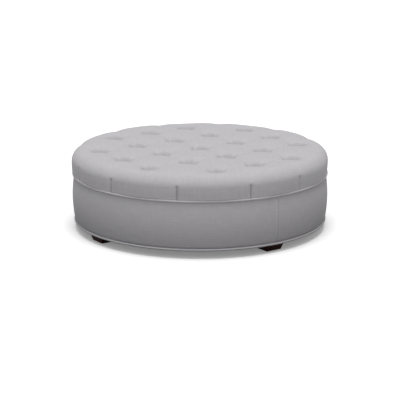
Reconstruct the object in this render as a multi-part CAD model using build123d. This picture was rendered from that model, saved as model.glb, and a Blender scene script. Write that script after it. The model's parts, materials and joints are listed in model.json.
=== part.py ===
from build123d import *
import os
from math import atan, atan2, cos, degrees, hypot, radians, sin, sqrt

# A round tufted ottoman in millimetres, +Z up. The origin is on the floor under the centre. The rows of tufts
# run along X, the front is towards -Y, and the four feet stand on the diagonals.

# The whole object, and the part of its height that is the cushion
overall_diameter = 1219.2
overall_height = 381.0
cushion_height = 117.0

# Cloth of the covers, and what is turned in at each seam
cloth_thickness = 1.2
hem_width = 36.0

# Welts: cloth folded round a filler cord, whose raw edges make the lip that lies in the seam
welt_diameter = 9.0
welt_sides = 6
welt_lip_thickness = 1.6
welt_setback = 8.8
welt_clearance = 0.3
lower_welt_height = 45.0

# Base cover: barrel shaped, in two half panels that meet at two upright seams
base_setback = 1.5
base_seam_round = 12.0
base_barrel_runs = 3
base_seam_angle = -45.0

# Frame
plywood_thickness = 18.0
bottom_ring_width_share = 0.19
top_ring_width_share = 0.14
skin_thickness = 4.0
skin_joint_gap = 2.0
rib_place_in_steps = 1.5
rib_clearance = 1.0
post_thickness = 30.0
post_width = 70.0
tenon_thickness = 14.0
tenon_width = 40.0

# Feet, and what fastens them
foot_bottom_width = 80.0
foot_top_width = 105.0
foot_edge_chamfer = 2.5
foot_setback = 12.0
glide_diameter = 30.0
glide_thickness = 3.0
glide_nail_diameter = 3.0
glide_nail_length = 10.0
foot_block_width = 110.0
foot_block_height = 38.0
bolt_diameter = 8.0
bolt_hole_diameter = 9.0
bolt_depth_in_foot = 30.0
tee_nut_flange_diameter = 24.0
tee_nut_flange_thickness = 1.6
tee_nut_barrel_diameter = 10.5
tee_nut_barrel_length = 14.0

# Dust cover
dust_cover_thickness = 0.8
dust_cover_lap = 14.0

# Screws that hold the cushion's deck to the frame
screw_diameter = 4.5
screw_head_diameter = 9.0
screw_head_thickness = 3.0
deck_screw_length = 32.0
deck_screw_margin = 30.0
deck_screw_count = 8
deck_screw_turn = 12.0

# Cushion: pillows between the tufts, and a broad border roll round them
cushion_rim_round = 60.0
border_width_share = 0.246
border_fall = 7.0
tuft_spacing_share = 0.1742
lattice_steps = 3
pillow_valley = 6.0
pillow_width_shares = [1.0, 0.62, 0.28]
pillow_height_shares = [0.0, 0.75, 1.0]
tuft_drop = 20.0
tuft_reach = 44.0
tuft_width_shares = [0.08, 0.36, 0.68, 1.0]
tuft_height_shares = [0.0, 0.45, 0.72, 0.86]
tuft_sides = 8
pleat_draw = 7.0
pleat_depth = 5.0
pleat_width = 3.0
pleat_top_drop = 43.0
lobe_spare_angle = 4.0

# What fills the cushion and holds the tufts. The cover is measured with the wadding quilted to its back
cover_top_thickness = 10.0
cover_floor_thickness = 3.0
core_rim_round = 50.0
wadding_top_thickness = 8.0
wadding_side_thickness = 16.0
foam_hole_diameter = 44.0
deck_edge_clearance = 1.0
deck_hole_diameter = 8.0
twine_diameter = 3.0
knot_diameter = 8.0
knot_height = 4.0
anchor_diameter = 28.0
anchor_thickness = 3.0

# Sides of what is small and round, straight runs in the section of a round, and one overrun for every cut
peg_sides = 8
quarter_runs = 3
corner_runs = 2
overrun = 20.0

# Radii
cushion_radius = overall_diameter / 2
border_width = cushion_radius * border_width_share
tuft_spacing = overall_diameter * tuft_spacing_share
half_diagonal = hypot(tuft_spacing / 2, tuft_spacing / 2)
welt_radius = welt_diameter / 2
welt_centre_radius = cushion_radius - welt_setback - welt_radius
base_radius = cushion_radius - base_setback
hem_inner_radius = cushion_radius - welt_setback - welt_radius - hem_width
seat_reach = welt_radius + welt_clearance

# Heights, from the floor up
upper_welt_height = overall_height - cushion_height
lip_half = welt_lip_thickness / 2
dust_cover_bottom = lower_welt_height - lip_half - dust_cover_thickness
base_bottom = lower_welt_height + lip_half
frame_bottom = base_bottom + cloth_thickness
bottom_ring_top = frame_bottom + plywood_thickness
base_top = upper_welt_height - lip_half
frame_top = base_top - cloth_thickness
top_ring_bottom = frame_top - plywood_thickness
cushion_bottom = upper_welt_height + lip_half
deck_bottom = cushion_bottom + cloth_thickness
deck_top = deck_bottom + plywood_thickness
foot_block_top = bottom_ring_top + foot_block_height

# The rounds of the base's side rest against the welts, and the frame stands inside them
base_round_centre_radius = welt_centre_radius - sqrt(
    (base_seam_round + seat_reach) ** 2 - (base_seam_round + lip_half) ** 2
)
skin_radius = base_round_centre_radius
frame_radius = skin_radius - skin_thickness
top_ring_inner_radius = frame_radius - cushion_radius * top_ring_width_share
bottom_ring_inner_radius = frame_radius - cushion_radius * bottom_ring_width_share
rib_offset = half_diagonal * rib_place_in_steps
foot_radius = cushion_radius - welt_setback - foot_setback - foot_top_width / 2
post_radius = sqrt(frame_radius**2 - (post_width / 2) ** 2) - post_thickness / 2


def cushion_roll_round():
    """Radius of the round at the foot of the cushion's side, so that it rests against the upper welt."""
    reach = welt_centre_radius - cushion_radius
    half = reach + lip_half - seat_reach
    return -half + sqrt(half**2 - (reach**2 + lip_half**2 - seat_reach**2))


cushion_roll = cushion_roll_round()
deck_radius = cushion_radius - cushion_roll - pleat_draw - deck_edge_clearance
core_radius = cushion_radius - pleat_draw - pleat_depth - cloth_thickness
core_top = overall_height - cover_top_thickness
tuft_floor = overall_height - tuft_drop
well_floor = tuft_floor - cover_floor_thickness

# The square lattice of tufts stands on its corner: places are counted in halves of its diagonal
lattice_range = range(-lattice_steps, lattice_steps + 1)
lattice = [(i, j) for i in lattice_range for j in lattice_range]
tuft_steps = [(i, j) for i, j in lattice if (i + j) % 2 == 0 and abs(i) + abs(j) <= lattice_steps + 1]
pillow_steps = [(i, j) for i, j in lattice if (i + j) % 2 == 1 and abs(i) + abs(j) <= lattice_steps]

# A pleat runs down the side halfway between each two tufts of the outer twelve
outer_tufts = [(i, j) for i, j in tuft_steps if hypot(i, j) > hypot(lattice_steps - 1, 1)]
outer_tuft_angles = sorted(degrees(atan2(j, i)) % 360 for i, j in outer_tufts)
pleat_angles = [
    (a + (b - a) % 360 / 2) % 360
    for a, b in zip(outer_tuft_angles, outer_tuft_angles[1:] + outer_tuft_angles[:1])
]
foot_angles = {"front_left": 225.0, "front_right": 315.0, "rear_right": 45.0, "rear_left": 135.0}
side_angles = {"front": 270.0, "right": 0.0, "rear": 90.0, "left": 180.0}


# Helpers


def outward(shape, angle, radius, height):
    """Stands a shape made at the origin at a radius and height, turned to face outward at an angle."""
    return Rot(0, 0, angle) * Pos(radius, 0, height) * shape


def at_steps(shape, steps):
    """Copies of a shape at places of the lattice."""
    return [Pos(i * half_diagonal, j * half_diagonal, 0) * shape for i, j in steps]


def ring(inner_radius, outer_radius, low, high):
    """A flat ring between two radii and two heights."""
    body = Cylinder(outer_radius, high - low) - Cylinder(inner_radius, high - low + overrun)
    return Pos(0, 0, (low + high) / 2) * body


def disc(radius, low, high):
    """A round plate between two heights."""
    return Pos(0, 0, (low + high) / 2) * Cylinder(radius, high - low)


def peg(diameter, low, high):
    """A small bar or hole between two heights, with a few flat sides."""
    return Pos(0, 0, low) * extrude(RegularPolygon(diameter / 2, peg_sides), high - low)


def arc_points(centre, radius, start, end, runs):
    """Points of an upright section along an arc from one angle to the other."""
    angles = [radians(start + (end - start) * k / runs) for k in range(runs + 1)]
    return [(centre[0] + radius * cos(a), centre[1] + radius * sin(a)) for a in angles]


def section(points):
    """A face in the upright plane from its corners, given as radius and height."""
    return Plane.XZ * make_face(Polyline(*points, close=True))


def corners_of(sketch, height):
    """The corners of a flat outline, stood at a height."""
    wire = sketch.faces()[0].outer_wire()
    return [Vector(edge.position_at(0).X, edge.position_at(0).Y, height) for edge in wire.order_edges()]


def faceted(rims):
    """A solid with flat sides between rings of corners, lowest ring first."""
    faces = [Face(Wire.make_polygon(rims[0])), Face(Wire.make_polygon(rims[-1]))]
    for low, high in zip(rims, rims[1:]):
        for k in range(len(low)):
            faces.append(Face(Wire.make_polygon([low[k - 1], low[k], high[k], high[k - 1]])))
    return Part() + Solid(Shell(faces))


# Cushion form


def border_section(shift):
    """Half section of the border roll, with the turning axis moved out by shift."""
    roll = (cushion_radius - cushion_roll - shift, cushion_bottom + cushion_roll)
    rim = (cushion_radius - cushion_rim_round - shift, overall_height - cushion_rim_round)
    inner = rim[0] - border_width
    return [
        *arc_points(roll, cushion_roll, -90, 0, quarter_runs),
        *arc_points(rim, cushion_rim_round, 0, 90, quarter_runs),
        (inner, overall_height - border_fall),
        (inner, cushion_bottom),
    ]


def border_lobe(start, end):
    """The border between two pleats, turned about an axis of its own so that it is drawn in at both."""
    half = radians(end - start) / 2
    drawn = cushion_radius - pleat_draw
    shift = (cushion_radius**2 - drawn**2) / (2 * (cushion_radius - drawn * cos(half)))
    inner = cushion_radius - cushion_rim_round - border_width
    half_turn = degrees(atan2(inner * sin(half), inner * cos(half) - shift)) + lobe_spare_angle
    face = section(border_section(shift)).rotate(Axis.Z, -half_turn)
    body = Pos(shift, 0, 0) * revolve(face, Axis.Z, 2 * half_turn)
    side, ahead = overall_diameter * sin(half), overall_diameter * cos(half)
    slice_of_round = make_face(Polyline((0, 0), (ahead, -side), (ahead, side), close=True))
    return Rot(0, 0, (start + end) / 2) * (body & extrude(slice_of_round, overall_height + overrun))


def pillow():
    """A square pillow with a domed top, which meets the next ones in a valley between two tufts."""
    valley = overall_height - pillow_valley
    rims = [corners_of(Rectangle(tuft_spacing, tuft_spacing), cushion_bottom)]
    for rise, width in zip(pillow_height_shares, pillow_width_shares):
        square = Rectangle(tuft_spacing * width, tuft_spacing * width)
        rims.append(corners_of(square, valley + pillow_valley * rise))
    return Rot(0, 0, 45) * faceted(rims)


def tuft_funnel():
    """What a tuft pulls out of the cushion's top, steep at its floor and soft at its shoulder."""
    rims = [
        corners_of(RegularPolygon(tuft_reach * width, tuft_sides), tuft_floor + tuft_drop * rise)
        for rise, width in zip(tuft_height_shares, tuft_width_shares)
    ]
    return faceted(rims + [corners_of(RegularPolygon(tuft_reach, tuft_sides), overall_height + overrun)])


def pleat():
    """A narrow upright fold from the welt up to the rim, of one depth all the way."""
    start, end = cushion_radius - pleat_draw - cushion_roll / 2, cushion_radius + overrun
    low, high = cushion_bottom, overall_height - pleat_top_drop
    plate = Pos((start + end) / 2, 0, (low + high) / 2) * Box(end - start, pleat_width, high - low)
    middle = extrude(section(border_section(pleat_draw + pleat_depth)), pleat_width, both=True)
    return plate - middle


def cushion_form():
    """The whole tufted form of the cushion."""
    lobes = [
        border_lobe(start, start + (end - start) % 360)
        for start, end in zip(pleat_angles, pleat_angles[1:] + pleat_angles[:1])
    ]
    field = Part() + at_steps(pillow(), pillow_steps)
    field &= disc(cushion_radius - cushion_rim_round - pleat_draw, 0, overall_height + overrun)
    body = (Part() + lobes) + field
    return body - at_steps(tuft_funnel(), tuft_steps) - [Rot(0, 0, angle) * pleat() for angle in pleat_angles]


def cushion_core():
    """The space inside the top cover, round the deck, with the wells that the tufts are drawn down in."""
    rim = (core_radius - core_rim_round, core_top - core_rim_round)
    corners = [
        (0, deck_bottom),
        (deck_radius, deck_bottom),
        (core_radius, cushion_bottom + cushion_roll),
        *arc_points(rim, core_rim_round, 0, 90, quarter_runs),
        (0, core_top),
    ]
    well = peg(foam_hole_diameter, well_floor, core_top + overrun)
    return revolve(section(corners), Axis.Z) - at_steps(well, tuft_steps)


def foam_blank():
    """The foam pad before its tuft holes are cut."""
    radius, top = core_radius - wadding_side_thickness, core_top - wadding_top_thickness
    rim_round = core_rim_round - wadding_top_thickness
    rim = (radius - rim_round, top - rim_round)
    corners = [(0, deck_top), (radius, deck_top), *arc_points(rim, rim_round, 0, 90, quarter_runs), (0, top)]
    return revolve(section(corners), Axis.Z)


# Base form


def base_form(inset, round_runs, barrel_runs):
    """The upholstered drum of the base: a round at each welt and a slight barrel in between."""
    middle = (base_bottom + base_top) / 2
    low = (base_round_centre_radius, base_bottom + base_seam_round)
    high = (base_round_centre_radius, base_top - base_seam_round)
    swell = base_radius - base_round_centre_radius - base_seam_round
    angle = degrees(2 * atan(swell / (high[1] - middle)))
    barrel_round = (high[1] - middle) / sin(radians(angle)) + base_seam_round
    centre = (base_radius - barrel_round, middle)
    barrel = arc_points(centre, barrel_round - inset, -angle, angle, barrel_runs)
    corners = [
        (0, base_bottom + inset),
        *arc_points(low, base_seam_round - inset, -90, -angle, round_runs),
        *barrel[1:-1],
        *arc_points(high, base_seam_round - inset, angle, 90, round_runs),
        (0, base_top - inset),
    ]
    return revolve(section(corners), Axis.Z)


# Pieces


def make_foot(angle):
    """A square block that tapers towards the floor, bored for its bolt and its glide's nail."""
    low, high = glide_thickness, dust_cover_bottom
    ends = [
        corners_of(chamfer(Rectangle(width, width).vertices(), foot_edge_chamfer), height)
        for height, width in ((low, foot_bottom_width), (high, foot_top_width))
    ]
    block = faceted(ends) - peg(bolt_diameter, high - bolt_depth_in_foot, high + overrun)
    block -= peg(glide_nail_diameter, 0, glide_nail_length)
    return outward(block, angle, foot_radius, 0)


def make_glides():
    """Nylon glides under the feet, each with a nail."""
    glide = peg(glide_diameter, 0, glide_thickness)
    glide += peg(glide_nail_diameter, glide_thickness, glide_nail_length)
    return [outward(glide, angle, foot_radius, 0) for angle in foot_angles.values()]


def make_hanger_bolts():
    """Bolts from the feet up through the bottom ring and the foot blocks into the tee nuts."""
    low = dust_cover_bottom - bolt_depth_in_foot
    bolt = peg(bolt_diameter, low, foot_block_top + tee_nut_flange_thickness)
    return [outward(bolt, angle, foot_radius, 0) for angle in foot_angles.values()]


def make_tee_nuts():
    """Tee nuts driven into the tops of the foot blocks."""
    nut = peg(tee_nut_flange_diameter, foot_block_top, foot_block_top + tee_nut_flange_thickness)
    nut += peg(tee_nut_barrel_diameter, foot_block_top - tee_nut_barrel_length, foot_block_top)
    nut -= peg(bolt_diameter, bottom_ring_top, foot_block_top + overrun)
    return [outward(nut, angle, foot_radius, 0) for angle in foot_angles.values()]


def make_foot_block(angle):
    """A hardwood block over a foot, sawn to the frame's curve and bored for the tee nut."""
    middle = (bottom_ring_top + foot_block_top) / 2
    block = Pos(foot_radius, 0, middle) * Box(foot_block_width, foot_block_width, foot_block_height)
    block &= disc(frame_radius, bottom_ring_top, foot_block_top)
    bore = peg(bolt_hole_diameter, bottom_ring_top - overrun, foot_block_top)
    bore += peg(tee_nut_barrel_diameter, foot_block_top - tee_nut_barrel_length, foot_block_top + overrun)
    return Rot(0, 0, angle) * (block - Pos(foot_radius, 0, 0) * bore)


def bolt_holes():
    """Cutters for the holes that the hanger bolts go through."""
    hole = peg(bolt_hole_diameter, 0, bottom_ring_top + overrun)
    return [outward(hole, angle, foot_radius, 0) for angle in foot_angles.values()]


def make_deck_screws():
    """Screws that come up through the top ring into the deck board."""
    screw = peg(screw_head_diameter, top_ring_bottom - screw_head_thickness, top_ring_bottom)
    screw += peg(screw_diameter, top_ring_bottom, top_ring_bottom + deck_screw_length)
    radius = top_ring_inner_radius + deck_screw_margin
    step = 360 / deck_screw_count
    return [outward(screw, deck_screw_turn + k * step, radius, 0) for k in range(deck_screw_count)]


def make_post(angle, low, low_tenon):
    """An upright with a tenon into the top ring and, if one is asked for, a tenon below."""
    board = Pos(0, 0, (low + top_ring_bottom) / 2) * Box(post_thickness, post_width, top_ring_bottom - low)
    foot = low - low_tenon
    board += Pos(0, 0, (foot + frame_top) / 2) * Box(tenon_thickness, tenon_width, frame_top - foot)
    return outward(board, angle, post_radius, 0)


def make_side_posts():
    """Four posts between the two rings."""
    return {
        f"post_{name}": make_post(angle, bottom_ring_top, plywood_thickness)
        for name, angle in side_angles.items()
    }


def make_short_posts():
    """Four posts from the foot blocks up to the top ring."""
    return {f"short_post_{name}": make_post(angle, foot_block_top, 0) for name, angle in foot_angles.items()}


def make_rib(angle, slot_from_top):
    """A board on edge that carries the deck, notched for the top ring and half-lapped with two others."""
    far_face = rib_offset + plywood_thickness / 2
    half_length = sqrt(frame_radius**2 - far_face**2)
    height = deck_bottom - bottom_ring_top
    rib = Pos(rib_offset, 0, bottom_ring_top + height / 2) * Box(plywood_thickness, 2 * half_length, height)
    notch_start = sqrt(top_ring_inner_radius**2 - far_face**2) - rib_clearance
    notch_length = half_length - notch_start + overrun
    notch_height = deck_bottom - top_ring_bottom + overrun
    notch = Box(plywood_thickness + overrun, notch_length, notch_height)
    slot = Box(plywood_thickness + overrun, plywood_thickness, height / 2 + overrun)
    slot_middle = height / 4 + overrun / 2
    slot_height = bottom_ring_top + height / 2 + (slot_middle if slot_from_top else -slot_middle)
    for side in (1, -1):
        end = side * (notch_start + notch_length / 2)
        rib -= Pos(rib_offset, end, top_ring_bottom + notch_height / 2) * notch
        rib -= Pos(rib_offset, side * rib_offset, slot_height) * slot
    return Rot(0, 0, angle) * rib


def make_drum_skin():
    """Bent plywood round the frame, with a butt joint at the rear."""
    body = ring(frame_radius, skin_radius, frame_bottom, frame_top)
    joint = Box(2 * skin_thickness + overrun, skin_joint_gap, frame_top)
    return body - outward(joint, side_angles["rear"], frame_radius, frame_top / 2)


def make_base_covers(inside):
    """The two halves of the base's cover, with hems turned in over and under the frame."""
    shell = base_form(0, corner_runs, base_barrel_runs) - inside
    shell -= disc(hem_inner_radius, 0, overall_height)
    middle = overall_height / 2
    half = Pos(cushion_radius, 0, middle) * Box(overall_diameter, 2 * overall_diameter, overall_height)
    names = {"base_cover_rear_right": base_seam_angle + 90, "base_cover_front_left": base_seam_angle - 90}
    return {name: shell & (Rot(0, 0, angle) * half) for name, angle in names.items()}


def make_welt(height):
    """Piping: cloth folded round its filler cord, with the lip that is sewn into the seam."""
    outline = RegularPolygon(welt_radius, welt_sides, rotation=180 / welt_sides)
    roll = Pos(welt_centre_radius, height) * outline
    lip_width = welt_centre_radius - hem_inner_radius
    lip = Pos(hem_inner_radius + lip_width / 2, height) * Rectangle(lip_width, welt_lip_thickness)
    return revolve(Plane.XZ * (roll + lip), Axis.Z)


def make_dust_cover():
    """Black cloth under the frame, pierced by the bolts."""
    top = dust_cover_bottom + dust_cover_thickness
    return disc(hem_inner_radius + dust_cover_lap, dust_cover_bottom, top) - bolt_holes()


def make_twines():
    """A twine from each tuft down through foam and deck, with its knot under the anchor washer."""
    low = deck_bottom - anchor_thickness
    twine = peg(twine_diameter, low, well_floor) + peg(knot_diameter, low - knot_height, low)
    return at_steps(twine, tuft_steps)


def make_anchor_washers():
    """Washers under the deck that the twines pull against."""
    low = deck_bottom - anchor_thickness
    washer = peg(anchor_diameter, low, deck_bottom) - peg(twine_diameter, 0, overall_height)
    return at_steps(washer, tuft_steps)


def build():
    """Every piece by its name: one solid, or a list of equal solids that share a name."""
    side_posts, short_posts, screws = make_side_posts(), make_short_posts(), make_deck_screws()
    bottom_ring = ring(bottom_ring_inner_radius, frame_radius, frame_bottom, bottom_ring_top)
    top_ring = ring(top_ring_inner_radius, frame_radius, top_ring_bottom, frame_top)
    base_inside = base_form(cloth_thickness, 1, 1)
    core, foam = cushion_core(), foam_blank()
    deck = disc(deck_radius, deck_bottom, deck_top)
    deck_holes = at_steps(peg(deck_hole_diameter, 0, overall_height), tuft_steps)
    foam_holes = at_steps(peg(foam_hole_diameter, 0, overall_height), tuft_steps)
    pieces = {f"foot_{name}": make_foot(angle) for name, angle in foot_angles.items()}
    pieces["foot_glides"] = make_glides()
    pieces["hanger_bolts"] = make_hanger_bolts()
    pieces["tee_nuts"] = make_tee_nuts()
    pieces |= {f"foot_block_{name}": make_foot_block(angle) for name, angle in foot_angles.items()}
    pieces["bottom_ring"] = bottom_ring - bolt_holes() - list(side_posts.values())
    pieces["top_ring"] = top_ring - screws - list(side_posts.values()) - list(short_posts.values())
    pieces |= side_posts | short_posts
    for name, angle in side_angles.items():
        pieces[f"rib_{name}"] = make_rib(angle, slot_from_top=name in ("front", "rear"))
    pieces["drum_skin"] = make_drum_skin()
    pieces["base_padding"] = base_inside - disc(skin_radius, 0, overall_height)
    pieces |= make_base_covers(base_inside)
    pieces["lower_welt"] = make_welt(lower_welt_height)
    pieces["upper_welt"] = make_welt(upper_welt_height)
    pieces["dust_cover"] = make_dust_cover()
    pieces["deck_board"] = deck - deck_holes - screws
    pieces["foam_pad"] = foam - foam_holes
    pieces["wadding"] = core - foam - deck
    pieces["top_cover"] = cushion_form() - core - disc(hem_inner_radius, 0, deck_bottom)
    pieces["tuft_twines"] = make_twines()
    pieces["tuft_anchor_washers"] = make_anchor_washers()
    pieces["deck_screws"] = screws
    return pieces


os.makedirs("parts", exist_ok=True)
for node, shape in build().items():
    shapes = shape if isinstance(shape, list) else [shape]
    solids = [solid for one in shapes for solid in one.solids()]
    export_step(solids[0] if len(solids) == 1 else Compound(children=solids), f"parts/{node}.step")
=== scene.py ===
"""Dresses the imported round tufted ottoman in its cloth, wood and hardware, and lights it on a white floor."""

import json
import logging
from collections.abc import Callable, Iterable
from dataclasses import asdict, dataclass
from enum import Enum
from math import atan, cos, hypot, pi, radians, sin, sqrt, tau

import bpy
import numpy as np
from mathutils import Matrix


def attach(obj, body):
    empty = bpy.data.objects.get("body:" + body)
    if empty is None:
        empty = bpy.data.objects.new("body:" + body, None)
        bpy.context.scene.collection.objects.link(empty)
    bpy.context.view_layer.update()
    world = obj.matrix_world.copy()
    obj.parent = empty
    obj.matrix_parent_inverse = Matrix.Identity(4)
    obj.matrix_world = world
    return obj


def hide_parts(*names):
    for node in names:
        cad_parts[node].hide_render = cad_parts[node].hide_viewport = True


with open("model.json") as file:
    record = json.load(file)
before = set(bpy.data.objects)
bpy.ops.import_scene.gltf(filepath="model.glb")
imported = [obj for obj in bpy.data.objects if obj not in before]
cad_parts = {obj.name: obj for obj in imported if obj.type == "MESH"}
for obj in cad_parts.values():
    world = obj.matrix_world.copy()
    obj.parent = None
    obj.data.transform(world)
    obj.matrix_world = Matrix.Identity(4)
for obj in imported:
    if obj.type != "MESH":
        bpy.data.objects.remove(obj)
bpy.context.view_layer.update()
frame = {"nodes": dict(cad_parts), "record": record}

logging.basicConfig(level=logging.INFO, format="%(message)s")
log = logging.getLogger("ottoman")

Piece, Tree, Node = bpy.types.Object, bpy.types.NodeTree, bpy.types.Node

MM = 0.001
ROOT = "root"
FOOT_ANGLES = {"front_left": 225.0, "front_right": 315.0, "rear_right": 45.0, "rear_left": 135.0}
HEM_INNER = 560.3 * MM  # radius to which covers and welts are turned in under cushion and base
CLOTH = 1.2 * MM  # thickness of the linen


# Helpers


def linear(hex_colour: str) -> tuple[float, float, float, float]:
    """Turns an sRGB colour into the linear one that shaders take.

    Args:
        hex_colour: six hex digits.

    Returns:
        Red, green, blue and an alpha of 1.
    """
    channels = [int(hex_colour[k : k + 2], 16) / 255 for k in (0, 2, 4)]
    red, green, blue = [c / 12.92 if c <= 0.04045 else ((c + 0.055) / 1.055) ** 2.4 for c in channels]
    return red, green, blue, 1.0


def add_node(tree: Tree, kind: str, settings: dict | None = None, **inputs: object) -> Node:
    """Adds a node with its settings, values and links.

    Args:
        tree: the node tree that gets it.
        kind: the node's type name.
        settings: the node's own properties by name.
        **inputs: sockets by name, with _ for a space or by number as i0, i1, each a value or another socket.

    Returns:
        The node.
    """
    node = tree.nodes.new(kind)
    for name, value in (settings or {}).items():
        setattr(node, name, value)
    for name, value in inputs.items():
        numbered = name[0] == "i" and name[1:].isdigit()
        socket = node.inputs[int(name[1:]) if numbered else name.replace("_", " ")]
        if isinstance(value, bpy.types.NodeSocket):
            tree.links.new(value, socket)
        else:
            socket.default_value = value
    return node


def select_only(piece: Piece) -> None:
    """Makes one object the only selected and the active one.

    Args:
        piece: the object.
    """
    bpy.ops.object.select_all(action="DESELECT")
    piece.select_set(True)
    bpy.context.view_layer.objects.active = piece


def fresh(name: str, add: Callable[..., object], **sizes: object) -> Piece:
    """Adds a primitive with nothing else selected, names it and puts its place and size into its mesh.

    Args:
        name: the new object's name.
        add: the operator that adds the primitive.
        **sizes: what the operator takes.

    Returns:
        The new object.
    """
    bpy.ops.object.select_all(action="DESELECT")
    add(**sizes)
    bpy.ops.object.transform_apply(location=True, rotation=True, scale=True)
    piece = bpy.context.active_object
    piece.name = name
    piece.data.name = name
    return piece


def finish_with(piece: Piece, kind: str, **settings: object) -> None:
    """Adds a modifier and applies it.

    Args:
        piece: the object that gets it.
        kind: the modifier's type name.
        **settings: its properties by name.
    """
    modifier = piece.modifiers.new(kind.title(), kind)
    for name, value in settings.items():
        setattr(modifier, name, value)
    select_only(piece)
    bpy.ops.object.modifier_apply(modifier=modifier.name)


def joined(name: str, parts: list[Piece]) -> Piece:
    """Joins objects into one mesh.

    Args:
        name: the joined object's name.
        parts: the objects, of which the first stays.

    Returns:
        The joined object.
    """
    select_only(parts[0])
    for part in parts:
        part.select_set(True)
    bpy.ops.object.join()
    parts[0].name = name
    parts[0].data.name = name
    return parts[0]


def copied(name: str, model: Piece, placement: Matrix) -> Piece:
    """Copies a model with a mesh of its own that stands at a place.

    Args:
        name: the copy's name.
        model: the object to copy.
        placement: where the copy's mesh goes.

    Returns:
        The copy.
    """
    copy = model.copy()
    copy.data = model.data.copy()
    copy.data.transform(placement)
    bpy.context.collection.objects.link(copy)
    copy.name = name
    copy.data.name = name
    return copy


def repeated(name: str, model: Piece, placements: Iterable[Matrix]) -> Piece:
    """Copies a model to several places and joins the copies.

    Args:
        name: the joined object's name.
        model: the object to copy, which is removed.
        placements: where the copies go.

    Returns:
        The joined object.
    """
    copies = [copied(f"{name}_copy", model, placement) for placement in placements]
    bpy.data.objects.remove(model)
    return joined(name, copies)


def outward(angle: float, reach: float) -> Matrix:
    """The placement at an angle in degrees and a distance from the axis."""
    return Matrix.Rotation(radians(angle), 4, "Z") @ Matrix.Translation((reach, 0, 0))


def points_of(mesh: bpy.types.Mesh) -> np.ndarray:
    """Reads a mesh's points.

    Args:
        mesh: the mesh.

    Returns:
        A row x, y, z for each point.
    """
    flat = np.zeros(len(mesh.vertices) * 3)
    mesh.vertices.foreach_get("co", flat)
    return flat.reshape(-1, 3)


def move_points(piece: Piece, places: np.ndarray) -> None:
    """Moves a mesh's points to the rows of an array."""
    piece.data.vertices.foreach_set("co", np.ascontiguousarray(places, dtype=float).ravel())
    piece.data.update()


def smooth(piece: Piece, angle: float) -> None:
    """Shades a piece smooth, apart from edges sharper than an angle in degrees."""
    select_only(piece)
    bpy.ops.object.shade_smooth_by_angle(angle=radians(angle))


def face_outwards() -> None:
    """Turns all faces of the mesh in edit mode to its outer side, and ends edit mode."""
    bpy.ops.mesh.select_all(action="SELECT")
    bpy.ops.mesh.normals_make_consistent(inside=False)
    bpy.ops.object.mode_set(mode="OBJECT")


def step(value: np.ndarray, low: float, high: float) -> np.ndarray:
    """A smooth ramp from 0 at low to 1 at high."""
    share = np.clip((value - low) / (high - low), 0, 1)
    return share * share * (3 - 2 * share)


def hill(value: np.ndarray, half: float | np.ndarray) -> np.ndarray:
    """A smooth hill of height 1 at 0, down to about a third at half its width."""
    return np.exp(-((value / half) ** 2))


def all_round(angles: np.ndarray) -> np.ndarray:
    """The angles, with each of them a full turn before and after."""
    return np.concatenate([angles - tau, angles, angles + tau])


def corner_points(piece: Piece) -> np.ndarray:
    """Reads which point each face corner of a mesh stands on.

    Args:
        piece: the mesh.

    Returns:
        The number of a point for each face corner.
    """
    numbers = np.zeros(len(piece.data.loops), dtype=int)
    piece.data.loops.foreach_get("vertex_index", numbers)
    return numbers


def unwrapped(piece: Piece, angles: np.ndarray) -> np.ndarray:
    """Keeps each face's angles together where they pass a full turn.

    Args:
        piece: the mesh.
        angles: one for each face corner.

    Returns:
        The angles, within half a turn of the one at their face's first corner.
    """
    starts = [face.loop_start for face in piece.data.polygons]
    counts = [len(face.vertices) for face in piece.data.polygons]
    first = np.repeat(angles[starts], counts)
    return first + (angles - first + pi) % tau - pi


def set_weave(piece: Piece, cloth_places: np.ndarray) -> None:
    """Gives a piece a UV map in metres of cloth.

    Args:
        piece: the mesh.
        cloth_places: a row for each face corner: metres across and along the cloth.
    """
    layer = piece.data.uv_layers.get("weave") or piece.data.uv_layers.new(name="weave")
    layer.uv.foreach_set("vector", np.ascontiguousarray(cloth_places, dtype=float).ravel())


def stand_for(piece: Piece, slot: str, finish: "Finish", *nodes: str) -> None:
    """Dresses a piece, hides what it replaces and lets it ride on the body.

    Args:
        piece: the finished mesh.
        slot: the record's material slot; not used.
        finish: its finish.
        *nodes: the CAD nodes that it stands for.
    """
    piece.data.materials.clear()
    piece.data.materials.append(finish.material())
    if nodes:
        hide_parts(*nodes)
    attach(piece, ROOT)
    log.info("%s: %d faces", piece.name, len(piece.data.polygons))


# Finishes


class Finish:
    """A finish that makes its material once."""

    name: str = "finish"

    def material(self) -> bpy.types.Material:
        """Makes the finish's material on first use.

        Returns:
            The material.
        """
        made = bpy.data.materials.get(self.name)
        if made:
            return made
        made = bpy.data.materials.new(self.name)
        made.use_nodes = True
        tree = made.node_tree
        tree.nodes.clear()
        add_node(tree, "ShaderNodeOutputMaterial", Surface=self.shader(tree).outputs[0])
        return made

    def shader(self, tree: Tree) -> Node:
        """Builds the nodes and returns the one whose first output is the surface."""
        raise NotImplementedError


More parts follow.
